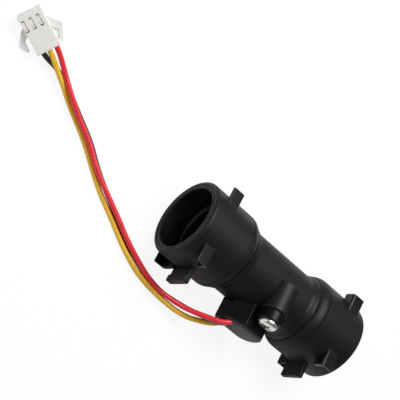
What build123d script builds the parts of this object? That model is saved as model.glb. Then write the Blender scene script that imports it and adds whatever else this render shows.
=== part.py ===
"""Water flow sensor: a short moulded pipe body with a socket at each end, an axial
turbine on a steel shaft inside its waist, and a potted sensor case screwed to its side.

Frame: X runs along the pipe from the inlet mouth at 0, +Z is up, and the sensor case
stands on the -Y side. Sizes are in millimetres.
"""
import os
from math import atan2, cos, degrees, pi, radians, sin, tan

from build123d import *

os.makedirs("parts", exist_ok=True)

# Pipe body: the waist keeps its length, and the sockets take up the rest
body_length = 60.0
socket_radius = 11.15
mouth_rounding = 1.0
shoulder_length = 2.8
shoulder_radius = 9.95
collar_length = 1.0
collar_radius = 9.75
hollow_length = 1.5
waist_length = 20.4
waist_radius = 9.17

# Passage through the body
bore_radius = 8.95
bore_depth = 7.0
chamber_radius = 8.4
passage_length = 28.0
passage_radius = 7.0

# Lugs and index tabs round each socket: thin plates above and below, each end of which is
# stiffened by an upright wall on the side away from the mouth
lug_start = 3.4
lug_end = 7.4
lug_half_height = 9.3
lug_half_width = 11.05
lug_thickness = 0.7
lug_wall_thickness = 1.2
lug_wall_height = 3.5
lug_rounding = 0.8
tab_below_axis = 5.0
tab_above_axis = 2.6
tab_reach = 15.0
tab_thickness = 1.3
inlet_tab_start = 7.2
outlet_tab_inset = 6.2
tab_rounding = 0.9

# Saddle that carries the case screw, with its reach each way from the middle of the body
saddle_before_middle = 3.5
saddle_after_middle = 5.4
saddle_top = 9.6
saddle_back = 1.1
saddle_face = 7.2
saddle_rounding = 0.4

# Sensor case, also placed from the middle of the body
case_before_middle = 6.05
case_after_middle = 7.3
case_half_width = 4.6
case_slant_start = 1.6
case_slant_length = 4.55
case_corner_cut = 1.2
case_face = 14.3
case_wall = 0.85
case_floor = 10.2
case_gap = 0.05
ear_radius = 3.9
ear_thickness = 3.9

# Case screw
screw_after_middle = 2.4
screw_z = 7.6
screw_head_radius = 2.85
screw_head_height = 1.3
screw_head_rounding = 0.7
screw_shank_radius = 1.2
screw_hole_gap = 0.1
screw_tip = 4.9
cross_length = 2.9
cross_width = 0.55
cross_depth = 0.8

# Potting and the parts that it covers
potting_crown = 0.7
potting_margin = 0.3
potting_slope = 1.8
potting_depth = 0.8
board_thickness = 0.8
board_stand = 0.4
board_clearance = 0.25
chip_width = 4.0
chip_length = 3.0
chip_height = 1.5
lead_pitch = 1.27
lead_count = 3
lead_size = 0.4
lead_reach = 0.9
block_length = 1.25
block_width = 2.0
block_after_middle = 0.6
block_z = 2.2
capacitor_height = 1.0
resistor_height = 0.5

# Turbine
shaft_radius = 0.8
shaft_running_gap = 0.05
shaft_chamfer = 0.15
rotor_end_gap = 0.3
blade_length = 5.4
blade_inset = 0.6
hub_length = 6.7
hub_radius = 2.4
spigot_radius = 3.0
shoulder_width = 0.8
magnet_cap_radius = 3.8
magnet_length = 4.0
magnet_radius = 5.6
tip_gap = 0.4
blade_count = 6
blade_thickness = 0.9
blade_tip_angle = 46.0

# Guide vanes and rear support
insert_gap = 0.05
insert_wall = 0.75
insert_hub_radius = 2.3
flange_thickness = 1.3
cage_before_middle = 5.8
cage_nose_reach = 0.8
vane_count = 5
vane_thickness = 0.8
vane_angle = 38.0
vane_length = 6.0
support_sleeve_length = 6.0
support_tail_reach = 0.6
arm_count = 3
arm_thickness = 1.0
arm_length = 5.0
bush_radius = 1.5
bush_length = 2.0
bush_stand = 0.2
bush_end_gap = 0.2
ring_thickness = 0.9
ring_groove_radius = 8.9
ring_clearance = 0.05
ring_width = 1.2
ring_gap_width = 4.0

# Connector, lying on its lower edge and one wing tip
connector_length = 11.1
connector_width = 6.4
connector_height = 4.6
connector_front_x = -62.66
connector_front_y = 18.14
connector_yaw = 22.0
connector_rounding = 0.3
contact_pitch = 2.0
contact_count = 3
cavity_width = 1.5
cavity_height = 1.9
cavity_start = 0.9
cavity_end = 7.4
pin_hole = 0.8
window_start = 1.8
window_length = 2.8
window_width = 0.9
wire_hole_gap = 0.05
wing_start = 3.7
wing_peak_start = 6.4
wing_peak_end = 7.2
wing_end = 9.6
wing_reach = 2.45
wing_end_reach = 1.4
wing_slot = 0.6
wing_slot_start = 5.2
wing_thickness = 0.8
terminal_gap = 0.15
terminal_wall = 0.22
terminal_box_end = 5.9
terminal_end = 7.6

# Wires
wire_diameter = 1.4
wire_bend = 12.0
wire_bend_share = 0.45

# Values that follow from the sizes above
middle = body_length / 2
waist_start = middle - waist_length / 2
collar_end = waist_start - hollow_length
shoulder_end = collar_end - collar_length
socket_length = shoulder_end - shoulder_length
seat_depth = middle - passage_length / 2
outlet_seat = body_length - seat_depth
saddle_start = middle - saddle_before_middle
saddle_end = middle + saddle_after_middle
case_start = middle - case_before_middle
case_end = middle + case_after_middle
screw_x = middle + screw_after_middle
insert_radius = passage_radius - insert_gap
flange_radius = chamber_radius - insert_gap
sleeve_inner_radius = insert_radius - insert_wall
tip_radius = passage_radius - tip_gap
cage_end = middle - cage_before_middle
cage_nose_start = seat_depth - cage_nose_reach
front_bush_end = cage_end + bush_stand
front_bush_start = front_bush_end - bush_length
rotor_start = front_bush_end + rotor_end_gap
spigot_start = rotor_start + hub_length
magnet_start = spigot_start + shoulder_width
magnet_end = magnet_start + magnet_length
rotor_end = magnet_end + shoulder_width
rear_bush_start = rotor_end + rotor_end_gap
rear_bush_end = rear_bush_start + bush_length
support_start = rear_bush_start + bush_stand
support_sleeve_start = outlet_seat - support_sleeve_length
support_tail_end = outlet_seat + support_tail_reach
shaft_start = front_bush_start + bush_end_gap
shaft_end = rear_bush_end - bush_end_gap
ear_face = saddle_face + ear_thickness
case_bend_x = case_end - case_half_width
board_seat = case_floor + chip_height + board_stand
board_top = board_seat + board_thickness
blade_root_angle = degrees(atan2(tan(radians(blade_tip_angle)) * hub_radius, tip_radius))
wire_radius = wire_diameter / 2

connector_roll = atan2((connector_height - wing_thickness) / 2, wing_reach)
connector_rise = connector_width / 2 * sin(connector_roll) + connector_height / 2 * cos(connector_roll)
connector_centre = (connector_front_x, connector_front_y, connector_rise - socket_radius)
yaw = radians(connector_yaw)
along = (cos(yaw), -sin(yaw), 0)
upright = (-sin(yaw) * sin(connector_roll), -cos(yaw) * sin(connector_roll), cos(connector_roll))
connector_plane = Plane(origin=connector_centre, x_dir=along, z_dir=upright)
connector_front = Plane(origin=connector_centre, x_dir=connector_plane.y_dir, z_dir=along)


# Pipe body: turned form, then lugs, tabs and saddle, then the passage cut through
with BuildPart() as body_housing:
    with BuildSketch(Plane.XY):
        with BuildLine():
            edge = Line((0, 0), (0, socket_radius - mouth_rounding))
            lip = RadiusArc(edge @ 1, (mouth_rounding, socket_radius), mouth_rounding)
            socket = Line(lip @ 1, (socket_length, socket_radius))
            shoulder = TangentArc(socket @ 1, (shoulder_end, shoulder_radius), tangent=(1, 0))
            collar = Line(shoulder @ 1, (collar_end, collar_radius))
            hollow = TangentArc((waist_start, waist_radius), collar @ 1, tangent=(-1, 0))
            Polyline(hollow @ 0, (middle, waist_radius), (middle, 0), (0, 0))
        make_face()
        mirror(about=Plane.YZ.offset(middle))
    revolve(axis=Axis.X)
    lug_middle = (lug_start + lug_end) / 2
    for lug_level in (lug_half_height - lug_thickness, -lug_half_height):
        with BuildSketch(Plane.XY.offset(lug_level)):
            with Locations((lug_middle, 0), (body_length - lug_middle, 0)):
                RectangleRounded(lug_end - lug_start, 2 * lug_half_width, lug_rounding)
        extrude(amount=lug_thickness)
    for wall_x in (lug_end - lug_wall_thickness, body_length - lug_end):
        with BuildSketch(Plane.YZ.offset(wall_x)):
            with GridLocations(1, 2 * lug_half_height - lug_wall_height, 1, 2):
                Rectangle(2 * lug_half_width, lug_wall_height)
        extrude(amount=lug_wall_thickness)
    for tab_x in (inlet_tab_start, body_length - outlet_tab_inset - tab_thickness):
        with BuildSketch(Plane.YZ.offset(tab_x)) as tab_section:
            with Locations((-tab_reach / 2, (tab_above_axis - tab_below_axis) / 2)):
                Rectangle(tab_reach, tab_above_axis + tab_below_axis)
            fillet(tab_section.vertices().group_by(Axis.X)[0], tab_rounding)
        extrude(amount=tab_thickness)
    with BuildSketch(Plane.YZ.offset(saddle_start)) as saddle_section:
        with Locations(((saddle_back - saddle_face) / 2, saddle_top / 2)):
            Rectangle(saddle_back + saddle_face, saddle_top)
        fillet(saddle_section.vertices().group_by(Axis.Y)[-1], saddle_rounding)
    extrude(amount=saddle_end - saddle_start)
    with BuildSketch(Plane.XY):
        with BuildLine():
            Polyline(
                (0, 0),
                (0, bore_radius),
                (bore_depth, bore_radius),
                (bore_depth + bore_radius - chamber_radius, chamber_radius),
                (seat_depth, chamber_radius),
                (seat_depth, passage_radius),
                (middle, passage_radius),
                (middle, 0),
                close=True,
            )
        make_face()
        mirror(about=Plane.YZ.offset(middle))
        ring_middle = outlet_seat + flange_thickness + ring_thickness / 2
        with Locations((ring_middle, ring_groove_radius / 2)):
            Rectangle(ring_thickness, ring_groove_radius)
    revolve(axis=Axis.X, mode=Mode.SUBTRACT)
    with BuildSketch(Plane.XZ.offset(screw_tip)):
        with Locations((screw_x, screw_z)):
            Circle(screw_shank_radius)
    extrude(amount=saddle_face - screw_tip, mode=Mode.SUBTRACT)
body_housing.part.label = "body_housing"
export_step(body_housing.part, "parts/body_housing.step")


# One guide vane, lofted from hub to sleeve, then the flanged cage that carries five
with BuildPart() as guide_vane:
    for vane_radius in (insert_hub_radius - insert_wall / 2, insert_radius):
        with BuildSketch(Plane.XY.offset(vane_radius)):
            with Locations((cage_end - insert_wall - vane_length / 2, 0)):
                SlotOverall(vane_length / cos(radians(vane_angle)), vane_thickness, rotation=vane_angle)
    loft()
    with BuildSketch(Plane.XY):
        vane_outer_radius = insert_radius - insert_wall / 2
        with Locations(((seat_depth + cage_end) / 2, vane_outer_radius / 2)):
            Rectangle(cage_end - seat_depth, vane_outer_radius)
    revolve(axis=Axis.X, mode=Mode.INTERSECT)

with BuildPart() as vane_cage:
    with BuildSketch(Plane.XY):
        with BuildLine():
            Polyline(
                (seat_depth - flange_thickness, sleeve_inner_radius),
                (seat_depth - flange_thickness, flange_radius),
                (seat_depth, flange_radius),
                (seat_depth, insert_radius),
                (cage_end, insert_radius),
                (cage_end, sleeve_inner_radius),
                close=True,
            )
        make_face()
        with BuildLine():
            nose_centre = (cage_nose_start + insert_hub_radius, 0)
            nose = CenterArc(nose_centre, insert_hub_radius, start_angle=90, arc_size=90)
            Polyline(nose @ 0, (cage_end, insert_hub_radius), (cage_end, 0), nose @ 1)
        make_face()
    revolve(axis=Axis.X)
    for vane_number in range(vane_count):
        add(guide_vane.part, rotation=(vane_number * 360 / vane_count, 0, 0))
    with BuildSketch(Plane.YZ.offset(front_bush_start)):
        Circle(bush_radius)
    extrude(amount=bush_length, mode=Mode.SUBTRACT)
vane_cage.part.label = "vane_cage"
export_step(vane_cage.part, "parts/vane_cage.step")


# Bushes that carry the shaft, one in the guide hub and one in the rear hub
for bush_name, bush_start in (("front_bearing", front_bush_start), ("rear_bearing", rear_bush_start)):
    with BuildPart() as bush:
        with BuildSketch(Plane.YZ.offset(bush_start)):
            Circle(bush_radius)
            Circle(shaft_radius + shaft_running_gap, mode=Mode.SUBTRACT)
        extrude(amount=bush_length)
    bush.part.label = bush_name
    export_step(bush.part, f"parts/{bush_name}.step")


# Shaft: a ground steel pin pressed into the rotor and running in both bushes
with BuildPart() as rotor_shaft:
    with BuildSketch(Plane.YZ.offset(shaft_start)):
        Circle(shaft_radius)
    extrude(amount=shaft_end - shaft_start)
    chamfer(rotor_shaft.edges().filter_by(GeomType.CIRCLE), shaft_chamfer)
rotor_shaft.part.label = "rotor_shaft"
export_step(rotor_shaft.part, "parts/rotor_shaft.step")


# One turbine blade, lofted from a shallow root to a steep tip, then the rotor with six
with BuildPart() as blade:
    for blade_radius, blade_angle in (
        (hub_radius - blade_thickness / 2, blade_root_angle),
        (passage_radius, blade_tip_angle),
    ):
        with BuildSketch(Plane.XY.offset(blade_radius)):
            with Locations((rotor_start + blade_inset + blade_length / 2, 0)):
                blade_chord = blade_length / cos(radians(blade_angle))
                SlotOverall(blade_chord, blade_thickness, rotation=blade_angle)
    loft()
    with BuildSketch(Plane.XY):
        with Locations((rotor_start + hub_length / 2, tip_radius / 2)):
            Rectangle(hub_length, tip_radius)
    revolve(axis=Axis.X, mode=Mode.INTERSECT)

with BuildPart() as rotor:
    with BuildSketch(Plane.XY):
        with BuildLine():
            Polyline(
                (rotor_start, shaft_radius),
                (rotor_start, hub_radius - blade_inset),
                (rotor_start + blade_inset, hub_radius),
                (spigot_start, hub_radius),
                (spigot_start, magnet_cap_radius),
                (magnet_start, magnet_cap_radius),
                (magnet_start, spigot_radius),
                (magnet_end, spigot_radius),
                (magnet_end, magnet_cap_radius),
                (rotor_end, magnet_cap_radius - shoulder_width / 2),
                (rotor_end, shaft_radius),
                close=True,
            )
        make_face()
    revolve(axis=Axis.X)
    for blade_number in range(blade_count):
        add(blade.part, rotation=(blade_number * 360 / blade_count, 0, 0))
rotor.part.label = "rotor"
export_step(rotor.part, "parts/rotor.step")


# Ring magnet, held between the two shoulders of the rotor
with BuildPart() as rotor_magnet:
    with BuildSketch(Plane.YZ.offset(magnet_start)):
        Circle(magnet_radius)
        Circle(spigot_radius, mode=Mode.SUBTRACT)
    extrude(amount=magnet_length)
rotor_magnet.part.label = "rotor_magnet"
export_step(rotor_magnet.part, "parts/rotor_magnet.step")


# Rear support: a flanged sleeve and a tailed hub on three straight arms
with BuildPart() as rear_support:
    with BuildSketch(Plane.XY):
        with BuildLine():
            Polyline(
                (support_sleeve_start, sleeve_inner_radius),
                (support_sleeve_start, insert_radius),
                (outlet_seat, insert_radius),
                (outlet_seat, flange_radius),
                (outlet_seat + flange_thickness, flange_radius),
                (outlet_seat + flange_thickness, sleeve_inner_radius),
                close=True,
            )
        make_face()
        with BuildLine():
            tail_centre = (support_tail_end - insert_hub_radius, 0)
            tail = CenterArc(tail_centre, insert_hub_radius, start_angle=0, arc_size=90)
            Polyline(tail @ 1, (support_start, insert_hub_radius), (support_start, 0), tail @ 0)
        make_face()
    revolve(axis=Axis.X)
    for arm_number in range(arm_count):
        arm_plane = Plane.XY.rotated((arm_number * 360 / arm_count, 0, 0))
        with BuildSketch(arm_plane.offset(insert_hub_radius - insert_wall / 2)):
            with Locations(((support_sleeve_start + outlet_seat) / 2, 0)):
                SlotOverall(arm_length, arm_thickness)
        extrude(amount=insert_radius - insert_hub_radius)
    with BuildSketch(Plane.YZ.offset(rear_bush_start)):
        Circle(bush_radius)
    extrude(amount=bush_length, mode=Mode.SUBTRACT)
rear_support.part.label = "rear_support"
export_step(rear_support.part, "parts/rear_support.step")


# Spring ring that snaps into the outlet groove behind the rear support
with BuildPart() as retaining_ring:
    ring_radius = ring_groove_radius - ring_clearance
    with BuildSketch(Plane.YZ.offset(outlet_seat + flange_thickness)):
        Circle(ring_radius)
        Circle(ring_radius - ring_width, mode=Mode.SUBTRACT)
        with Locations((0, -ring_radius)):
            Rectangle(ring_gap_width, 4 * ring_width, mode=Mode.SUBTRACT)
    extrude(amount=ring_thickness)
retaining_ring.part.label = "retaining_ring"
export_step(retaining_ring.part, "parts/retaining_ring.step")


# Outline of the case and of its pocket, seen from the open face
with BuildSketch(Plane.XZ) as case_outline:
    with BuildLine():
        case_line = Polyline(
            (case_bend_x, -case_half_width),
            (case_start + case_corner_cut, -case_half_width),
            (case_start, -case_half_width + case_corner_cut),
            (case_start, case_slant_start),
            (case_start + case_slant_length, case_half_width),
            (case_bend_x, case_half_width),
        )
        TangentArc(case_line @ 1, case_line @ 0, tangent=(1, 0))
    make_face()

with BuildSketch(Plane.XZ) as pocket_outline:
    add(case_outline.sketch_local)
    offset(amount=-case_wall, kind=Kind.INTERSECTION, mode=Mode.REPLACE)

# Sensor case: an open box on the curve of the waist, with a thick ear for its screw
with BuildPart() as sensor_case:
    with BuildSketch(Plane.XZ):
        add(case_outline.sketch_local)
    extrude(amount=case_face)
    with BuildSketch(Plane.XZ.offset(saddle_face)):
        with Locations((screw_x, screw_z)):
            Circle(ear_radius)
    extrude(amount=ear_thickness)
    with BuildSketch(Plane.YZ.offset(case_start)):
        Circle(waist_radius + case_gap)
    extrude(amount=case_end - case_start, mode=Mode.SUBTRACT)
    with BuildSketch(Plane.XZ.offset(case_floor)):
        add(pocket_outline.sketch_local)
    extrude(amount=case_face - case_floor, mode=Mode.SUBTRACT)
    with BuildSketch(Plane.XZ.offset(saddle_face)):
        with Locations((screw_x, screw_z)):
            Circle(screw_shank_radius + screw_hole_gap)
    extrude(amount=ear_thickness, mode=Mode.SUBTRACT)
sensor_case.part.label = "sensor_case"
export_step(sensor_case.part, "parts/sensor_case.step")


# Case screw: pan head with a cross recess, and a shank down into the saddle
with BuildPart() as cover_screw:
    with BuildSketch(Plane.XZ.offset(ear_face)):
        with Locations((screw_x, screw_z)):
            Circle(screw_head_radius)
    extrude(amount=screw_head_height)
    fillet(cover_screw.edges().sort_by(Axis.Y)[0], screw_head_rounding)
    with BuildSketch(Plane.XZ.offset(ear_face + screw_head_height)):
        with Locations((screw_x, screw_z)):
            Rectangle(cross_length, cross_width)
            Rectangle(cross_width, cross_length)
    extrude(amount=-cross_depth, mode=Mode.SUBTRACT)
    with BuildSketch(Plane.XZ.offset(screw_tip)):
        with Locations((screw_x, screw_z)):
            Circle(screw_shank_radius)
    extrude(amount=ear_face - screw_tip)
cover_screw.part.label = "cover_screw"
export_step(cover_screw.part, "parts/cover_screw.step")


# Circuit board, cut to the shape of the pocket
with BuildPart() as sensor_board:
    with BuildSketch(Plane.XZ.offset(board_seat)):
        add(pocket_outline.sketch_local)
        offset(amount=-board_clearance, kind=Kind.INTERSECTION, mode=Mode.REPLACE)
    extrude(amount=board_thickness)
sensor_board.part.label = "sensor_board"
export_step(sensor_board.part, "parts/sensor_board.step")


# Magnetic switch chip on the pocket floor, right over the ring magnet, with three leads
magnet_middle = (magnet_start + magnet_end) / 2
with BuildPart() as hall_chip:
    with BuildSketch(Plane.XZ.offset(case_floor)):
        with Locations((magnet_middle, 0)):
            Rectangle(chip_length, chip_width)
    extrude(amount=chip_height)
    lead_middle = case_floor + chip_height / 2
    with BuildSketch(Plane.XZ.offset(lead_middle - lead_size / 2)):
        with Locations((magnet_middle - (chip_length + lead_reach) / 2, 0)):
            with GridLocations(1, lead_pitch, 1, lead_count):
                Rectangle(lead_reach, lead_size)
    extrude(amount=lead_size)
    with BuildSketch(Plane.XZ.offset(lead_middle)):
        with Locations((magnet_middle - chip_length / 2 - lead_reach + lead_size / 2, 0)):
            with GridLocations(1, lead_pitch, 1, lead_count):
                Rectangle(lead_size, lead_size)
    extrude(amount=board_seat - lead_middle)
hall_chip.part.label = "hall_chip"
export_step(hall_chip.part, "parts/hall_chip.step")


# Two surface parts on the outer side of the board
board_parts = (
    ("bypass_capacitor", -block_z, capacitor_height),
    ("pull_up_resistor", block_z, resistor_height),
)
covered_parts = [sensor_board.part, hall_chip.part]
for block_name, z, height in board_parts:
    with BuildPart() as block:
        with BuildSketch(Plane.XZ.offset(board_top)):
            with Locations((middle + block_after_middle, z)):
                Rectangle(block_width, block_length)
        extrude(amount=height)
    block.part.label = block_name
    export_step(block.part, f"parts/{block_name}.step")
    covered_parts.append(block.part)


# Potting resin: fills the pocket round the board and stands a little proud of the case
with BuildPart() as potting:
    for crown_level, crown_inset in ((0, potting_margin), (potting_crown, potting_slope)):
        with BuildSketch(Plane.XZ.offset(case_face + crown_level)):
            add(case_outline.sketch_local)
            offset(amount=-crown_inset, kind=Kind.INTERSECTION, mode=Mode.REPLACE)
    loft(ruled=True)
    with BuildSketch(Plane.XZ.offset(case_floor)):
        add(pocket_outline.sketch_local)
    extrude(amount=case_face - case_floor)
    add(covered_parts, mode=Mode.SUBTRACT)
potting.part.label = "potting"
export_step(potting.part, "parts/potting.step")


# Connector housing: three cavities in a row, a latch window over each, and two side wings
with BuildPart() as connector_housing:
    with BuildSketch(connector_plane.offset(-connector_height / 2)):
        with Locations((connector_length / 2, 0)):
            Rectangle(connector_length, connector_width)
    extrude(amount=connector_height)
    fillet(connector_housing.edges().filter_by(connector_front), connector_rounding)
    with BuildSketch(connector_plane.offset(-wing_thickness / 2)):
        side = connector_width / 2
        with BuildLine():
            Polyline(
                (wing_start, side),
                (wing_peak_start, side + wing_reach),
                (wing_peak_end, side + wing_reach),
                (wing_end, side + wing_end_reach),
                (wing_end, side + wing_slot),
                (wing_slot_start, side + wing_slot),
                (wing_slot_start, side),
                close=True,
            )
        make_face()
        mirror(about=Plane.XZ)
    extrude(amount=wing_thickness)
    contact_row = GridLocations(contact_pitch, 1, contact_count, 1)
    with BuildSketch(connector_front):
        with contact_row:
            Rectangle(pin_hole, pin_hole)
    extrude(amount=cavity_start, mode=Mode.SUBTRACT)
    with BuildSketch(connector_front.offset(cavity_start)):
        with contact_row:
            Rectangle(cavity_width, cavity_height)
    extrude(amount=cavity_end - cavity_start, mode=Mode.SUBTRACT)
    with BuildSketch(connector_front.offset(cavity_end)):
        with contact_row:
            Circle(wire_radius + wire_hole_gap)
    extrude(amount=connector_length - cavity_end, mode=Mode.SUBTRACT)
    with BuildSketch(connector_plane):
        with Locations((window_start + window_length / 2, 0)):
            with GridLocations(1, contact_pitch, 1, contact_count):
                Rectangle(window_length, window_width)
    extrude(amount=connector_height / 2, mode=Mode.SUBTRACT)
connector_housing.part.label = "connector_housing"
export_step(connector_housing.part, "parts/connector_housing.step")


# Crimp contacts, each a box for the mating pin and a barrel for its wire, and the wires
# Routes run from the potting, down to the surface below the sockets, to the connector
lying = -socket_radius + wire_radius
wire_start = potting_depth - case_face
wire_routes = {
    "black": [
        (case_start + 3.05, wire_start, -0.1),
        (case_start + 2.35, -15.7, -0.2),
        (case_start - 1.15, -16.5, -2.1),
        (17.4, -16.3, -7.8),
        (6.1, -16.9, lying),
        (-3.6, -13.2, lying),
        (-10.5, -8.9, lying),
        (-17.2, -4.8, lying),
        (-23.1, 0.1, lying),
        (-28.2, 4.7, lying),
        (-35.4, 8.7, lying),
        (-42.1, 12.3, lying),
        (-47.8, 12.6, lying),
    ],
    "yellow": [
        (case_start + 2.25, wire_start, -1.6),
        (case_start + 1.95, -15.6, -2.0),
        (case_start - 0.75, -17.2, -4.5),
        (16.9, -18.7, -8.1),
        (3.2, -17.5, -9.8),
        (-5.7, -13.8, -10.3),
        (-12.2, -9.5, lying),
        (-20.4, -4.9, lying),
        (-29.8, 2.4, lying),
        (-38.2, 7.1, lying),
        (-44.1, 10.0, -8.9),
        (-47.3, 11.8, -8.7),
    ],
    "red": [
        (case_start + 3.45, wire_start, 1.4),
        (case_start + 1.65, -15.9, 1.2),
        (case_start - 2.25, -16.7, -1.2),
        (15.9, -17.2, -6.4),
        (6.6, -16.3, -8.8),
        (-3.6, -10.8, -10.4),
        (-10.4, -6.8, lying),
        (-16.8, -4.9, -8.38),
        (-23.3, -1.3, -9.5),
        (-28.4, 3.2, -9.5),
        (-35.0, 7.0, -9.7),
        (-40.8, 10.1, -8.8),
        (-44.8, 13.1, -8.9),
    ],
}
contact_places = {"black": -contact_pitch, "yellow": 0, "red": contact_pitch}

for colour, route in wire_routes.items():
    contact_y = contact_places[colour]
    with BuildPart() as terminal:
        with BuildSketch(connector_front.offset(cavity_start)):
            terminal_width = cavity_width - 2 * terminal_gap
            pin_space = terminal_width - 2 * terminal_wall
            with Locations((contact_y, 0)):
                Rectangle(terminal_width, terminal_width)
                Rectangle(pin_space, pin_space, mode=Mode.SUBTRACT)
        extrude(amount=terminal_box_end - cavity_start)
        with BuildSketch(connector_front.offset(terminal_box_end)):
            with Locations((contact_y, 0)):
                Circle(wire_radius)
        extrude(amount=terminal_end - terminal_box_end)
    terminal.part.label = f"terminal_{colour}"
    export_step(terminal.part, f"parts/terminal_{colour}.step")

    points = [Vector(point) for point in route]
    for along_connector in (wire_bend, terminal_end):
        points.append(connector_plane.from_local_coords(Vector(along_connector, contact_y, 0)))
    bend_radii = []
    for before, corner, after in zip(points, points[1:], points[2:]):
        shorter_run = min((corner - before).length, (after - corner).length)
        half_turn = radians((corner - before).get_angle(after - corner) / 2)
        bend_radii.append(wire_bend_share * shorter_run / tan(half_turn))
    with BuildPart() as wire:
        with BuildLine():
            wire_path = FilletPolyline(*points, radius=bend_radii)
        with BuildSketch(Plane(origin=wire_path @ 0, z_dir=wire_path % 0)):
            Circle(wire_radius)
        sweep()
    print(colour, "bend radii", [round(radius, 1) for radius in bend_radii])
    print(colour, "length", round(wire_path.length, 1), "volume", round(wire.part.volume, 1))
    print(colour, "section times length", round(pi * wire_radius**2 * wire_path.length, 1))
    wire.part.label = f"wire_{colour}"
    export_step(wire.part, f"parts/wire_{colour}.step")
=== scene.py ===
from math import cos, pi, radians, sin

import bmesh
import bpy
from mathutils import Matrix, Vector


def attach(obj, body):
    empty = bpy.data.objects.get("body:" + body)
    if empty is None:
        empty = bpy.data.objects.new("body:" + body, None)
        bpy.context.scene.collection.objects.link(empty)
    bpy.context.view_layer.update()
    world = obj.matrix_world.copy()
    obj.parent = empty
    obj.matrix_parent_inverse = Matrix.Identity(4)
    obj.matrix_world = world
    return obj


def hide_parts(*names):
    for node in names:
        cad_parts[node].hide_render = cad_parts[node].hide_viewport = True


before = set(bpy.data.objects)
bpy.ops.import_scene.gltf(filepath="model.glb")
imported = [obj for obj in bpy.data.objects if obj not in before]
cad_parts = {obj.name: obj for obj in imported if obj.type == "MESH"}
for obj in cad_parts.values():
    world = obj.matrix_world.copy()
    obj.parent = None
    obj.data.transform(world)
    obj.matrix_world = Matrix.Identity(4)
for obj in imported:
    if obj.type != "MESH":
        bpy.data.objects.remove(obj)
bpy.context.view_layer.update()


# Camera: a long lens looking down at the sensor from its inlet end, rolled so that the
# pipe runs from the top left of the picture to the bottom right.
camera_right = Vector((0.662, 0.433, 0.612))
camera_up = Vector((-0.577, 0.816, 0.046))
camera_back = camera_right.cross(camera_up).normalized()
camera_up = camera_back.cross(camera_right).normalized()
camera_data = bpy.data.cameras.new("camera")
camera_data.lens = 144
camera_data.sensor_width = 36
camera_data.clip_start = 0.01
camera_data.clip_end = 20
camera = bpy.data.objects.new("camera", camera_data)
turn = Matrix((camera_right.normalized(), camera_up, camera_back)).transposed().to_4x4()
camera.matrix_world = Matrix.Translation((-0.1943, -0.1505, 0.3228)) @ turn
bpy.context.scene.collection.objects.link(camera)
bpy.context.scene.camera = camera
bpy.context.scene.view_settings.view_transform = "Standard"


# Studio light: a large soft lamp over the pipe, a weaker one low on the inlet side and an
# even pale surround, which glossy surfaces also mirror.
def soft_lamp(name, place, target, size, power):
    """A square area lamp at a place, facing a target, sized in metres."""
    data = bpy.data.lights.new(name, "AREA")
    data.shape = "SQUARE"
    data.size = size
    data.energy = power
    lamp = bpy.data.objects.new(name, data)
    lamp.location = place
    lamp.rotation_euler = (Vector(target) - Vector(place)).to_track_quat("-Z", "Y").to_euler()
    bpy.context.scene.collection.objects.link(lamp)


pipe_middle = (0.03, 0, 0)
soft_lamp("top_lamp", (0.0, 0.19, 0.46), pipe_middle, size=0.32, power=2.8)
soft_lamp("front_lamp", (-0.38, -0.12, 0.14), pipe_middle, size=0.30, power=0.35)

surround = bpy.data.worlds.new("surround")
surround.use_nodes = True
surround_light = surround.node_tree.nodes["Background"]
surround_light.inputs["Color"].default_value = (1, 1, 1, 1)
surround_light.inputs["Strength"].default_value = 0.2
bpy.context.scene.world = surround


class Maths:
    """A node's output, with Python's operators adding Math nodes to its material."""

    def __init__(self, finish, socket):
        self.finish = finish
        self.socket = socket

    def combine(self, operation, first, second):
        return self.finish.node("ShaderNodeMath", {"operation": operation}, {0: first, 1: second})

    def __add__(self, other):
        return self.combine("ADD", self, other)

    __radd__ = __add__

    def __mul__(self, other):
        return self.combine("MULTIPLY", self, other)

    __rmul__ = __mul__

    def __sub__(self, other):
        return self.combine("SUBTRACT", self, other)

    def __rsub__(self, other):
        return self.combine("SUBTRACT", other, self)

    def __gt__(self, other):
        return self.combine("GREATER_THAN", self, other)


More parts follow.
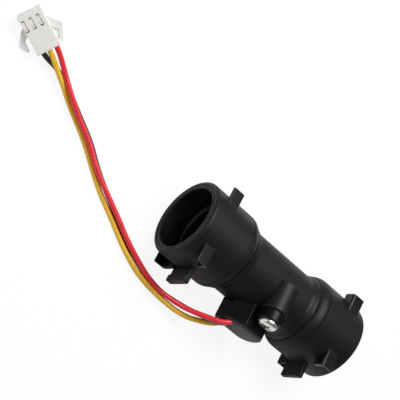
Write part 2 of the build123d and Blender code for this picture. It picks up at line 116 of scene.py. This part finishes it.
class Finish:
    """A procedural material round one Principled shader, for one of the part's finishes."""

    def __init__(self, name, **values):
        self.material = bpy.data.materials.new(name)
        self.material.use_nodes = True
        self.tree = self.material.node_tree
        self.shader = self.tree.nodes["Principled BSDF"]
        self.set(**values)

    def set(self, **values):
        for socket, value in values.items():
            self.feed(self.shader.inputs[socket.replace("_", " ")], value)

    def feed(self, socket, value):
        if isinstance(value, Maths):
            self.tree.links.new(value.socket, socket)
        elif isinstance(value, tuple) and len(value) == 3 and socket.type == "RGBA":
            socket.default_value = (*value, 1)
        else:
            socket.default_value = value

    def node(self, kind, settings=None, sockets=None, output=0):
        made = self.tree.nodes.new(kind)
        for name, value in (settings or {}).items():
            if name == "stops":
                for stop, (position, shade) in zip(made.color_ramp.elements, value):
                    stop.position = position
                    stop.color = (shade, shade, shade, 1)
            else:
                setattr(made, name, value)
        for name, value in (sockets or {}).items():
            self.feed(made.inputs[name], value)
        return Maths(self, made.outputs[output])

    def coordinate(self, axis):
        """How far along X, Y or Z a point of the piece is, in metres."""
        place = self.node("ShaderNodeTexCoord", output="Object")
        return self.node("ShaderNodeSeparateXYZ", sockets={"Vector": place}, output=axis)

    def noise(self, scale, detail=3, roughness=0.5):
        place = self.node("ShaderNodeTexCoord", output="Object")
        sockets = {"Vector": place, "Scale": scale, "Detail": detail, "Roughness": roughness}
        return self.node("ShaderNodeTexNoise", sockets=sockets)

    def ramp(self, value, *stops):
        return self.node("ShaderNodeValToRGB", {"stops": stops}, {"Fac": value})

    def mix(self, share, first, second):
        sockets = {0: share, 6: first, 7: second}
        return self.node("ShaderNodeMix", {"data_type": "RGBA"}, sockets, output=2)

    def mottle(self, scale, dark, light, detail=3):
        """Lets the colour wander between two shades."""
        self.set(Base_Color=self.mix(self.noise(scale, detail), dark, light))

    def grain(self, scale, distance, strength, detail=2, roughness=0.5):
        """Gives the surface a fine relief."""
        height = self.noise(scale, detail, roughness)
        sockets = {"Height": height, "Distance": distance, "Strength": strength}
        self.set(Normal=self.node("ShaderNodeBump", sockets=sockets))


def coat(piece, finish):
    """Gives a piece its finish, and no other."""
    piece.data.materials.clear()
    piece.data.materials.append(finish.material)


# Studio surface: a plain pale floor that the sockets and the wires lie on. It is white to
# the camera and in what gloss and metal mirror, and it keeps a soft shadow.
floor_level = -0.01115
floor_size = 4.0
floor_mesh = bmesh.new()
bmesh.ops.create_grid(floor_mesh, x_segments=1, y_segments=1, size=floor_size)
bmesh.ops.translate(floor_mesh, verts=floor_mesh.verts, vec=(0, 0, floor_level))
floor_data = bpy.data.meshes.new("floor")
floor_mesh.to_mesh(floor_data)
floor_mesh.free()
floor = bpy.data.objects.new("floor", floor_data)
bpy.context.scene.collection.objects.link(floor)
floor_finish = Finish("floor_white", Base_Color=(0.9, 0.9, 0.9), Roughness=0.9)
glow_share = 0.0
for ray, share in (("Is Camera Ray", 0.9), ("Is Glossy Ray", 0.12), ("Is Transmission Ray", 0.7)):
    glow_share = glow_share + share * floor_finish.node("ShaderNodeLightPath", output=ray)
glow = floor_finish.node("ShaderNodeEmission", sockets={"Color": (1, 1, 1), "Strength": 1.0})
plain = Maths(floor_finish, floor_finish.shader.outputs["BSDF"])
shown = floor_finish.node("ShaderNodeMixShader", sockets={0: glow_share, 1: plain, 2: glow})
floor_output = floor_finish.tree.nodes["Material Output"]
floor_finish.tree.links.new(shown.socket, floor_output.inputs["Surface"])
coat(floor, floor_finish)


# Pipe body: one glass-filled nylon moulding with a socket at each end, a waist between
# them, and a lip, a chamfered shoulder and a recess inside each mouth. Spun as one profile.
body_length = 60.0
socket_radius = 11.15
waist_radius = 9.17
waist_bend = 2.23
shoulder_bend = 3.867
rim_rounding = 1.0
lip_radius = 9.25
bore_radius = 8.95
bore_depth = 7.0
insert_radius = 8.4
throat_radius = 7.0
ring_groove_radius = 8.9
ring_groove = (45.3, 46.2)
pipe_steps = 144
core_steps = 96
sharp_angle = 38.0


def arc(centre, radius, start, end, steps):
    """Points round part of a circle, from one angle to another in degrees."""
    points = []
    for step in range(steps + 1):
        angle = radians(start + (end - start) * step / steps)
        points.append((centre[0] + radius * cos(angle), centre[1] + radius * sin(angle)))
    return points


def circle(centre, radius, steps):
    """Points once round a circle."""
    return arc(centre, radius, 0, 360, steps)[:-1]


def turned(profile, steps, closed=True):
    """A profile of (x, radius) points spun once round the X axis."""
    mesh = bmesh.new()
    points = [mesh.verts.new((x, 0, radius)) for x, radius in profile]
    following = points[1:] + points[:1] if closed else points[1:]
    edges = [mesh.edges.new(pair) for pair in zip(points, following)]
    around = {"cent": (0, 0, 0), "axis": (1, 0, 0), "angle": 2 * pi, "steps": steps}
    bmesh.ops.spin(mesh, geom=points + edges, use_merge=True, **around)
    bmesh.ops.remove_doubles(mesh, verts=mesh.verts, dist=0.0005)
    bmesh.ops.recalc_face_normals(mesh, faces=mesh.faces)
    return mesh


def round_edges(mesh, edges, amount, segments):
    """Rounds edges of a mesh."""
    settings = {"affect": "EDGES", "segments": segments, "profile": 0.5, "material": -1}
    settings["offset_type"] = "OFFSET"
    bmesh.ops.bevel(mesh, geom=edges, offset=amount, clamp_overlap=True, **settings)


def prism(outline, start, end, frame_matrix, rounding=0.0, segments=3):
    """A closed outline carried from one level to another in a frame, with rounded edges."""
    mesh = bmesh.new()
    base = mesh.faces.new([mesh.verts.new((x, y, start)) for x, y in outline])
    grown = bmesh.ops.extrude_face_region(mesh, geom=[base])["geom"]
    raised = [part for part in grown if isinstance(part, bmesh.types.BMVert)]
    bmesh.ops.translate(mesh, verts=raised, vec=(0, 0, end - start))
    bmesh.ops.recalc_face_normals(mesh, faces=mesh.faces)
    if rounding:
        sharp = [edge for edge in mesh.edges if edge.calc_face_angle(0) > radians(25)]
        round_edges(mesh, sharp, rounding, segments)
    bmesh.ops.transform(mesh, matrix=frame_matrix, verts=mesh.verts)
    return mesh


def placed(mesh, name, smooth_angle=sharp_angle):
    """An object in metres from a mesh in millimetres, smooth but for its sharp edges."""
    bmesh.ops.scale(mesh, vec=(0.001, 0.001, 0.001), verts=mesh.verts)
    data = bpy.data.meshes.new(name)
    mesh.to_mesh(data)
    mesh.free()
    data.shade_smooth()
    data.set_sharp_from_angle(angle=radians(smooth_angle))
    made = bpy.data.objects.new(name, data)
    bpy.context.scene.collection.objects.link(made)
    return made


def joined(target, tool, operation):
    """Unites a piece with another, or cuts it by another, which is then gone."""
    step = target.modifiers.new("step", "BOOLEAN")
    step.operation = operation
    step.solver = "EXACT"
    step.object = tool
    shape = target.evaluated_get(bpy.context.evaluated_depsgraph_get())
    data = bpy.data.meshes.new_from_object(shape)
    target.modifiers.clear()
    target.data = data
    data.shade_smooth()
    data.set_sharp_from_angle(angle=radians(sharp_angle))
    bpy.data.objects.remove(tool)


def core(start, end, radius):
    """A rod on the pipe's axis, which cuts a piece to the pipe's curve."""
    profile = [(start, 0), (start, radius), (end, radius), (end, 0)]
    return placed(turned(profile, core_steps, closed=False), "core")


def even_shading(piece):
    """Keeps the flat faces of a piece flat beside their rounded edges."""
    piece.modifiers.new("even_shading", "WEIGHTED_NORMAL").keep_sharp = True


mouth_profile = [(0.0, lip_radius)]
mouth_profile += [(0.0, 9.62), (0.20, 9.68), (0.20, 9.88), (0.0, 9.94)]
mouth_profile += arc((rim_rounding, socket_radius - rim_rounding), rim_rounding, 180, 90, 7)
mouth_profile += [(3.0, socket_radius), (8.0, socket_radius), (12.0, socket_radius)]
mouth_profile += [(14.40, socket_radius), (14.52, socket_radius - 0.26)]
mouth_profile += [(14.66, socket_radius - 0.03)]
mouth_profile += arc((14.5, 7.283), shoulder_bend, 86, 47, 8)
mouth_profile += [(17.20, 9.86), (17.32, 9.70), (17.44, 9.93), (18.20, 9.77)]
mouth_profile += arc((19.8, waist_radius + waist_bend), waist_bend, 228, 270, 8)
mouth_profile += [(22.0, waist_radius), (26.0, waist_radius), (30.0, waist_radius)]
inner_profile = [(0.30, bore_radius), (3.0, bore_radius), (bore_depth, bore_radius)]
inner_profile += [(7.5, 8.45), (7.6, insert_radius), (12.0, insert_radius)]
inner_profile += [(16.0, insert_radius), (16.0, throat_radius), (22.0, throat_radius)]
inner_profile += [(30.0, throat_radius)]
groove_start, groove_end = ring_groove
groove_profile = [(groove_end, insert_radius), (groove_end, ring_groove_radius)]
groove_profile += [(groove_start, ring_groove_radius), (groove_start, insert_radius)]
outlet_outer = [(body_length - x, radius) for x, radius in reversed(mouth_profile[:-1])]
outlet_inner = [(body_length - x, radius) for x, radius in inner_profile[:-1]]
outlet_inner = outlet_inner[:5] + groove_profile + outlet_inner[6:]
pipe_profile = mouth_profile + outlet_outer + outlet_inner + inner_profile[::-1]
pipe_body = placed(turned(pipe_profile, pipe_steps), "pipe_body")

# Lugs and index tabs: a thin plate above and below each socket reaches out on both sides,
# stiffened by an upright wall away from the mouth, and a tab keys the case side.
case_frame = Matrix(((1, 0, 0, 0), (0, 0, -1, 0), (0, 1, 0, 0), (0, 0, 0, 1)))
along_pipe = Matrix(((0, 0, 1, 0), (1, 0, 0, 0), (0, 1, 0, 0), (0, 0, 0, 1)))
lug_near = 3.4
lug_far = 7.4
lug_top = 9.3
plate_under = 8.6
wall_near = 6.2
wall_feet = {1: 5.8, -1: 4.4}
lug_reach = 11.05
lug_root = 10.0
lug_corner = 0.8
lug_edge = 0.15
touching = 0.01


def edges_where(mesh, holds):
    """The edges of a mesh whose two ends both pass a test."""
    return [edge for edge in mesh.edges if all(holds(vert.co) for vert in edge.verts)]


for end in (0, 1):
    for level, wall_foot in wall_feet.items():
        section = [(lug_near, lug_top), (lug_near, plate_under), (wall_near, plate_under)]
        section += [(wall_near, wall_foot), (lug_far, wall_foot), (lug_far, lug_top)]
        outline = [(body_length - x if end else x, level * z) for x, z in section]
        lug = prism(outline, -lug_reach, lug_reach, Matrix())
        tip_x = outline[0][0]
        back_x = outline[5][0]
        tips = edges_where(lug, lambda co: abs(co.x - tip_x) < touching and abs(co.z) > 11)
        round_edges(lug, tips, lug_corner, 4)
        spine = edges_where(lug, lambda co: abs(co.x - back_x) < touching and abs(co.y) > 9.2)
        long_spine = [edge for edge in spine if edge.calc_length() > 5]
        round_edges(lug, long_spine, lug_corner, 4)
        sharp = [edge for edge in lug.edges if edge.calc_face_angle(0) > radians(50)]
        round_edges(lug, sharp, lug_edge, 2)
        bmesh.ops.transform(lug, matrix=case_frame, verts=lug.verts)
        lug = placed(lug, "lug")
        joined(lug, core(-1, body_length + 1, lug_root), "DIFFERENCE")
        joined(pipe_body, lug, "UNION")
tab_corner = 0.45
tab_thickness = 1.3
tab_root = -9.4
tab_tip = -15.0
tab_top = 2.6
tab_foot = -5.0
tab_edge_rounding = 0.12
band_root = -13.1
upper_corner = (tab_tip + tab_corner, tab_top - tab_corner)
lower_corner = (tab_tip + tab_corner, tab_foot + tab_corner)
tab_edge = arc(upper_corner, tab_corner, 90, 180, 4) + arc(lower_corner, tab_corner, 180, 270, 4)
tab_outline = [(tab_root, tab_top)] + tab_edge + [(tab_root, tab_foot)]
band_outline = [(band_root, tab_top)] + tab_edge + [(band_root, tab_foot)]
for tab_start in (7.2, 52.5):
    tab_end = tab_start + tab_thickness
    tab = prism(tab_outline, tab_start, tab_end, along_pipe, tab_edge_rounding, 2)
    joined(pipe_body, placed(tab, "tab"), "UNION")
band = prism(band_outline, 6.7, 7.6, along_pipe, tab_edge_rounding, 2)
joined(pipe_body, placed(band, "band"), "UNION")

# Screw boss: a round pillar on the flank of the waist, in line with the case screw, whose
# end carries the ear of the case. A small pip on the inlet socket marks the gate, and two
# low ramps stand inside the inlet bore.
screw_x = 32.4
screw_z = 7.6
boss_radius = 3.7
boss_root = -0.1
boss_top = 8.1
boss_inner = 8.3
boss_outline = circle((screw_x, screw_z), boss_radius, 64)
boss = placed(prism(boss_outline, boss_root, boss_top, case_frame, 0.3), "boss")
joined(boss, core(20, 40, boss_inner), "DIFFERENCE")
joined(pipe_body, boss, "UNION")


def radial(x, y, z):
    """A frame at a point on the pipe, whose third axis points out from the pipe's axis."""
    out = Vector((0, y, z)).normalized()
    turn = Matrix(((1, 0, 0), (0, out.z, out.y), (0, -out.y, out.z)))
    return Matrix.Translation((x, 0, 0)) @ turn.to_4x4()


pip_radius = 0.3
pip_top = 11.32
pip_frame = radial(5.3, 2.2, 10.9)
pip = prism(circle((0, 0), pip_radius, 16), 11.0, pip_top, pip_frame, 0.14, 3)
joined(pipe_body, placed(pip, "pip"), "UNION")
ramp_half_width = 1.3
ramp_section = [(-0.55, 9.2), (-0.55, 8.93), (0.3, 8.7), (0.45, 8.7), (0.45, 9.2)]
for place in ((5.15, 4.6, -7.7), (5.45, -3.45, -8.27)):
    ramp_frame = radial(*place) @ case_frame
    ramp = prism(ramp_section, -ramp_half_width, ramp_half_width, ramp_frame, 0.05, 2)
    joined(pipe_body, placed(ramp, "ramp"), "UNION")
even_shading(pipe_body)

body_plastic = Finish("glass_filled_nylon", Specular_IOR_Level=0.26)
body_plastic.mottle(130, (0.0044, 0.0045, 0.0047), (0.0070, 0.0071, 0.0073), detail=4)
lug_gloss = 0.16
lugs_from_middle = 0.015
lugs_from_axis = 0.0112
lugs_from_level = 0.0055
from_middle = body_plastic.coordinate("X") - 0.03
sideways = body_plastic.coordinate("Y")
upwards = body_plastic.coordinate("Z")
from_axis_squared = sideways * sideways + upwards * upwards
lug_mask = from_middle * from_middle > lugs_from_middle**2
lug_mask = lug_mask * (from_axis_squared > lugs_from_axis**2)
lug_mask = lug_mask * (upwards * upwards > lugs_from_level**2)
matt = body_plastic.ramp(body_plastic.noise(90), (0.3, 0.44), (0.7, 0.56))
body_plastic.set(Roughness=matt - lug_gloss * lug_mask)
body_plastic.grain(1900, 0.00005, 0.22, detail=3, roughness=0.6)
coat(pipe_body, body_plastic)
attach(pipe_body, "root")
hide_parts("body_housing")


# Sensor case: a glossy black moulding cut to the curve of the waist, with one corner taken
# off slantwise and a round ear that the screw holds to the boss.
case_radius = 4.6
case_bend_x = 32.7
case_foot = 5.0
case_rim = 14.3
ear_radius = 3.45
ear_top = 11.1
slant_end = 0.0286
slant_roughness = 0.14
face_roughness = 0.33
case_outline = [(25.15, -case_radius), (case_bend_x, -case_radius)]
case_outline += arc((case_bend_x, 0), case_radius, -90, 90, 24)[1:]
case_outline += [(28.5, case_radius), (23.95, 1.6), (23.95, -3.4)]
case = prism(case_outline, case_foot, case_rim, case_frame, 0.06)
sensor_case_shell = placed(case, "sensor_case_shell")
ear = prism(circle((screw_x, screw_z), ear_radius, 96), boss_top, ear_top, case_frame, 0.3)
joined(sensor_case_shell, placed(ear, "ear"), "UNION")
joined(sensor_case_shell, core(20, 40, waist_radius + 0.05), "DIFFERENCE")
even_shading(sensor_case_shell)
case_plastic = Finish("gloss_black_case", Specular_IOR_Level=0.15)
case_plastic.mottle(60, (0.0026, 0.0026, 0.0029), (0.0042, 0.0042, 0.0046))
past_slant = case_plastic.coordinate("X") > slant_end
case_plastic.set(Roughness=slant_roughness + (face_roughness - slant_roughness) * past_slant)
case_plastic.grain(300, 0.00004, 0.05)
coat(sensor_case_shell, case_plastic)
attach(sensor_case_shell, "root")
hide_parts("sensor_case")


# Potting: grey epoxy poured over the board, just inside the case's rim, which stands proud
# of it in a low dome.
case_middle_x = 30.63
pour_foot = 13.0
pour_rim = 14.25
pour_along = 0.965
pour_across = 0.95
poured = [
    (case_middle_x + pour_along * (x - case_middle_x), pour_across * z) for x, z in case_outline
]
dome = prism(poured, pour_foot, pour_rim, Matrix())
top = max(dome.faces, key=lambda face: face.calc_center_median().z)
for inset, rise in ((0.12, 0.2), (0.25, 0.22), (0.4, 0.18), (0.5, 0.12), (0.55, 0.06)):
    bmesh.ops.inset_region(dome, faces=[top], thickness=inset, depth=rise, use_even_offset=True)
bmesh.ops.transform(dome, matrix=case_frame, verts=dome.verts)
potting_dome = placed(dome, "potting_dome", 50)
resin = Finish("potting_resin", Roughness=0.42, Specular_IOR_Level=0.2)
resin.mottle(160, (0.026, 0.026, 0.028), (0.040, 0.040, 0.042), detail=4)
resin.grain(240, 0.0002, 0.2)
coat(potting_dome, resin)
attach(potting_dome, "root")
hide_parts("potting")


# Case screw: a bright steel pan-head screw with a cross recess, seated on the ear.
recess_length = 2.9
recess_width = 0.55
screw_frame = Matrix(((0, 1, 0, screw_x), (-1, 0, 0, 0), (0, 0, 1, screw_z), (0, 0, 0, 1)))
screw_profile = [(4.9, 0), (4.9, 1.0), (5.3, 1.2), (11.1, 1.2), (11.1, 2.75)]
screw_profile += [(11.18, 2.85), (11.5, 2.85)]
screw_profile += arc((11.5, 1.95), 0.9, 90, 12, 6)[1:] + [(12.4, 1.0), (12.4, 0)]
screw = turned(screw_profile, 64, closed=False)
bmesh.ops.transform(screw, matrix=screw_frame, verts=screw.verts)
pan_screw = placed(screw, "pan_screw")
for bar_x, bar_z in ((recess_length, recess_width), (recess_width, recess_length)):
    half_x = bar_x / 2
    half_z = bar_z / 2
    bar = [(screw_x - half_x, screw_z - half_z), (screw_x + half_x, screw_z - half_z)]
    bar += [(screw_x + half_x, screw_z + half_z), (screw_x - half_x, screw_z + half_z)]
    joined(pan_screw, placed(prism(bar, 11.6, 13.0, case_frame), "bar"), "DIFFERENCE")
screw_steel = Finish("bright_steel", Metallic=1.0)
screw_steel.mottle(700, (0.62, 0.60, 0.56), (0.82, 0.81, 0.78))
polish = screw_steel.noise(1400, detail=2)
screw_steel.set(Roughness=screw_steel.ramp(polish, (0.3, 0.2), (0.7, 0.34)))
screw_steel.grain(1600, 0.00004, 0.2)
coat(pan_screw, screw_steel)
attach(pan_screw, "root")
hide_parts("cover_screw")


# Connector: a white nylon housing for three crimp contacts in a row, with a latch window
# over each, a low collar at each end and a springy wing on each side, one with a thin web.
contact_rows = {"black": -2.0, "yellow": 0.0, "red": 2.0}
connector_frame = Matrix.Translation((-62.66, 18.14, -7.371)) @ Matrix(
    (
        (0.9272, 0.2960, -0.2296, 0),
        (-0.3746, 0.7327, -0.5682, 0),
        (0, 0.6128, 0.7902, 0),
        (0, 0, 0, 1),
    )
)


def block(x, y, z, rounding=0.0, segments=3):
    """A box between limits in the connector's own frame, with rounded edges."""
    outline = [(x[0], y[0]), (x[1], y[0]), (x[1], y[1]), (x[0], y[1])]
    return placed(prism(outline, z[0], z[1], connector_frame, rounding, segments), "block")


shell_x = (0.6, 11.1)
shell_y = (-3.1, 3.1)
shell_z = (-2.2, 2.2)
connector = block(shell_x, shell_y, shell_z, 0.2)
connector.name = "connector_shell"
collar_y = (-3.2, 3.2)
collar_z = (-2.3, 2.3)
for collar_x in ((0.6, 1.5), (9.9, 11.1)):
    joined(connector, block(collar_x, collar_y, collar_z, 0.15, 2), "UNION")
right_wing = [(3.5, 3.0), (6.25, 5.6), (6.65, 5.78), (7.2, 5.65), (10.0, 4.5), (11.0, 3.6)]
right_wing += [(11.05, 2.9), (10.2, 2.9), (9.6, 3.55), (7.95, 4.3), (6.2, 3.0)]
left_wing = [(5.8, -3.0), (6.5, -4.1), (7.4, -4.5), (9.2, -4.5), (9.6, -4.7), (9.5, -4.95)]
left_wing += [(8.1, -5.95), (7.4, -6.2), (6.9, -6.0), (4.3, -4.2), (3.3, -3.0)]
web = [(5.9, 2.9), (7.95, 4.5), (9.8, 3.7), (10.4, 2.9)]
for outline, low, high in ((right_wing, -0.45, 0.45), (left_wing, 0.1, 0.9), (web, -0.2, 0.2)):
    wing = placed(prism(outline, low, high, connector_frame, 0.1, 2), "wing")
    joined(connector, wing, "UNION")
for row in contact_rows.values():
    pin_mouth = block((-1, 1.5), (row - 0.4, row + 0.4), (-0.4, 0.4))
    contact_room = block((1.2, 7.4), (row - 0.75, row + 0.75), (-0.95, 0.95))
    latch_window = block((1.85, 4.95), (row - 0.86, row + 0.06), (0.5, 3.0))
    wire_way = block((7.2, 12.0), (row - 0.75, row + 0.75), (-0.75, 0.75))
    for opening in (pin_mouth, contact_room, latch_window, wire_way):
        joined(connector, opening, "DIFFERENCE")
even_shading(connector)
shell_plastic = Finish("natural_nylon", Roughness=0.4)
shell_plastic.mottle(180, (0.78, 0.77, 0.75), (0.84, 0.83, 0.81))
shell_plastic.grain(900, 0.00004, 0.08)
coat(connector, shell_plastic)
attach(connector, "root")
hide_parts("connector_housing")


# Crimp contacts: tin-plated brass, folded into a square box round the mating pin, with a
# locking tongue that stands up in the latch window.
contact_tin = Finish("tinned_brass", Metallic=0.25, Roughness=0.5)
contact_tin.mottle(800, (0.88, 0.86, 0.76), (0.96, 0.94, 0.86))
for wire_colour, row in contact_rows.items():
    crimp = block((1.3, 5.9), (row - 0.6, row + 0.6), (-0.6, 0.6), 0.1, 2)
    crimp.name = f"contact_{wire_colour}"
    joined(crimp, block((5.8, 7.0), (row - 0.5, row + 0.5), (-0.6, -0.1), 0.1, 2), "UNION")
    joined(crimp, block((1.2, 4.0), (row - 0.35, row + 0.35), (-0.35, 0.35)), "DIFFERENCE")
    joined(crimp, block((4.1, 4.6), (row - 0.6, row - 0.2), (0.5, 1.9)), "UNION")
    tongue = [(2.12, row - 0.84), (3.6, row - 0.84), (4.7, row - 0.72)]
    tongue += [(4.7, row - 0.1), (3.6, row + 0.04), (2.12, row + 0.04)]
    tongue = prism(tongue, 1.8, 2.0, connector_frame, 0.05, 1)
    joined(crimp, placed(tongue, "tongue"), "UNION")
    coat(crimp, contact_tin)
    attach(crimp, "root")
    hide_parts(f"terminal_{wire_colour}")


# Lead wires: three limp PVC hook-up wires, 1.4 mm over the jacket. They leave the potting
# in a bunch, drop below the sockets and lie along the surface to the connector.
wire_diameter = 0.0014
wire_colours = {
    "black": (0.010, 0.010, 0.011),
    "yellow": (0.80, 0.47, 0.028),
    "red": (0.72, 0.022, 0.035),
}
wire_routes = {
    "black": (
        (0.0270, -0.0135, -0.0001),
        (0.0263, -0.0157, -0.0002),
        (0.0228, -0.0165, -0.0021),
        (0.0174, -0.0163, -0.0078),
        (0.00731, -0.01632, -0.01045),
        (-0.00434, -0.01203, -0.01045),
        (-0.01121, -0.00806, -0.01045),
        (-0.01634, -0.00505, -0.01045),
        (-0.02299, -0.00097, -0.01045),
        (-0.02823, 0.0034, -0.01045),
        (-0.03495, 0.00704, -0.01045),
        (-0.04048, 0.01035, -0.01045),
        (-0.0466, 0.0129, -0.01045),
        (-0.05213, 0.01218, -0.0086),
        (-0.05621, 0.01383, -0.0086),
    ),
    "yellow": (
        (0.0262, -0.0135, -0.0016),
        (0.0259, -0.0156, -0.0020),
        (0.0232, -0.0172, -0.0045),
        (0.0169, -0.0187, -0.0081),
        (0.0033, -0.0172, -0.0098),
        (-0.00548, -0.0133, -0.0103),
        (-0.0121, -0.00928, -0.01045),
        (-0.0204, -0.0049, -0.01045),
        (-0.0298, 0.0024, -0.01045),
        (-0.0382, 0.0071, -0.01045),
        (-0.0441, 0.0100, -0.0089),
        (-0.0473, 0.0118, -0.0087),
        (-0.05153, 0.01364, -0.00737),
        (-0.05561, 0.01529, -0.00737),
    ),
    "red": (
        (0.0274, -0.0135, 0.0014),
        (0.0256, -0.0159, 0.0012),
        (0.0217, -0.0167, -0.0012),
        (0.0159, -0.0172, -0.0064),
        (0.00637, -0.0168, -0.00875),
        (-0.00497, -0.01221, -0.00903),
        (-0.01181, -0.00826, -0.00903),
        (-0.01705, -0.00555, -0.00903),
        (-0.02386, -0.00193, -0.00903),
        (-0.02907, 0.00241, -0.00903),
        (-0.03593, 0.00589, -0.0087),
        (-0.04156, 0.00926, -0.00793),
        (-0.0455, 0.01234, -0.00798),
        (-0.05094, 0.01511, -0.00615),
        (-0.05502, 0.01676, -0.00615),
    ),
}
for wire_colour, route in wire_routes.items():
    curve = bpy.data.curves.new(f"wire_{wire_colour}_curve", "CURVE")
    curve.dimensions = "3D"
    curve.bevel_depth = wire_diameter / 2
    curve.bevel_resolution = 7
    curve.resolution_u = 16
    curve.use_fill_caps = True
    spline = curve.splines.new("NURBS")
    spline.points.add(len(route) - 1)
    for point, place in zip(spline.points, route):
        point.co = (*place, 1)
    spline.order_u = 3
    spline.use_endpoint_u = True
    wire = bpy.data.objects.new(f"wire_{wire_colour}_jacket", curve)
    bpy.context.scene.collection.objects.link(wire)
    jacket = Finish(f"pvc_{wire_colour}", Roughness=0.36)
    shade = jacket.ramp(jacket.noise(420, detail=2), (0.35, 0.93), (0.7, 1.0))
    deep = tuple(0.86 * channel for channel in wire_colours[wire_colour])
    jacket.set(Base_Color=jacket.mix(shade, deep, wire_colours[wire_colour]))
    jacket.grain(2500, 0.00003, 0.25)
    coat(wire, jacket)
    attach(wire, "root")
    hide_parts(f"wire_{wire_colour}")


# Parts that stay as the source has them: the turbine, its bushes and inserts, the ring
# that holds them, and the board under the potting.
def dress(finish, *names):
    """Gives carried-over parts their finish."""
    for name in names:
        coat(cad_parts[name], finish)


insert_plastic = Finish("insert_acetal", Roughness=0.45)
insert_plastic.mottle(150, (0.016, 0.016, 0.017), (0.024, 0.024, 0.026))
insert_plastic.grain(1200, 0.00004, 0.2)
dress(insert_plastic, "vane_cage", "rear_support")

bush_plastic = Finish("bush_polymer", Roughness=0.4)
bush_plastic.mottle(300, (0.30, 0.27, 0.20), (0.38, 0.34, 0.26))
dress(bush_plastic, "front_bearing", "rear_bearing")

rotor_plastic = Finish("rotor_acetal", Roughness=0.42)
rotor_plastic.mottle(200, (0.020, 0.020, 0.022), (0.030, 0.030, 0.032))
rotor_plastic.grain(1100, 0.00004, 0.2)
dress(rotor_plastic, "rotor")

ferrite = Finish("ferrite_magnet", Roughness=0.5)
ferrite.mottle(900, (0.028, 0.027, 0.027), (0.055, 0.053, 0.052), detail=4)
dress(ferrite, "rotor_magnet")

ground_steel = Finish("ground_steel", Metallic=1.0, Roughness=0.25)
ground_steel.mottle(900, (0.55, 0.55, 0.54), (0.70, 0.70, 0.69))
dress(ground_steel, "rotor_shaft")

spring_steel = Finish("spring_steel", Metallic=1.0, Roughness=0.32)
spring_steel.mottle(600, (0.42, 0.42, 0.42), (0.58, 0.58, 0.57))
dress(spring_steel, "retaining_ring")

board_finish = Finish("green_board", Roughness=0.4)
board_finish.mottle(500, (0.010, 0.085, 0.035), (0.016, 0.11, 0.05))
dress(board_finish, "sensor_board")

chip_finish = Finish("chip_moulding", Roughness=0.55)
chip_finish.mottle(700, (0.012, 0.012, 0.013), (0.02, 0.02, 0.021))
dress(chip_finish, "hall_chip")

ceramic = Finish("ceramic_block", Roughness=0.35)
ceramic.mottle(600, (0.36, 0.27, 0.17), (0.46, 0.35, 0.23))
dress(ceramic, "bypass_capacitor", "pull_up_resistor")
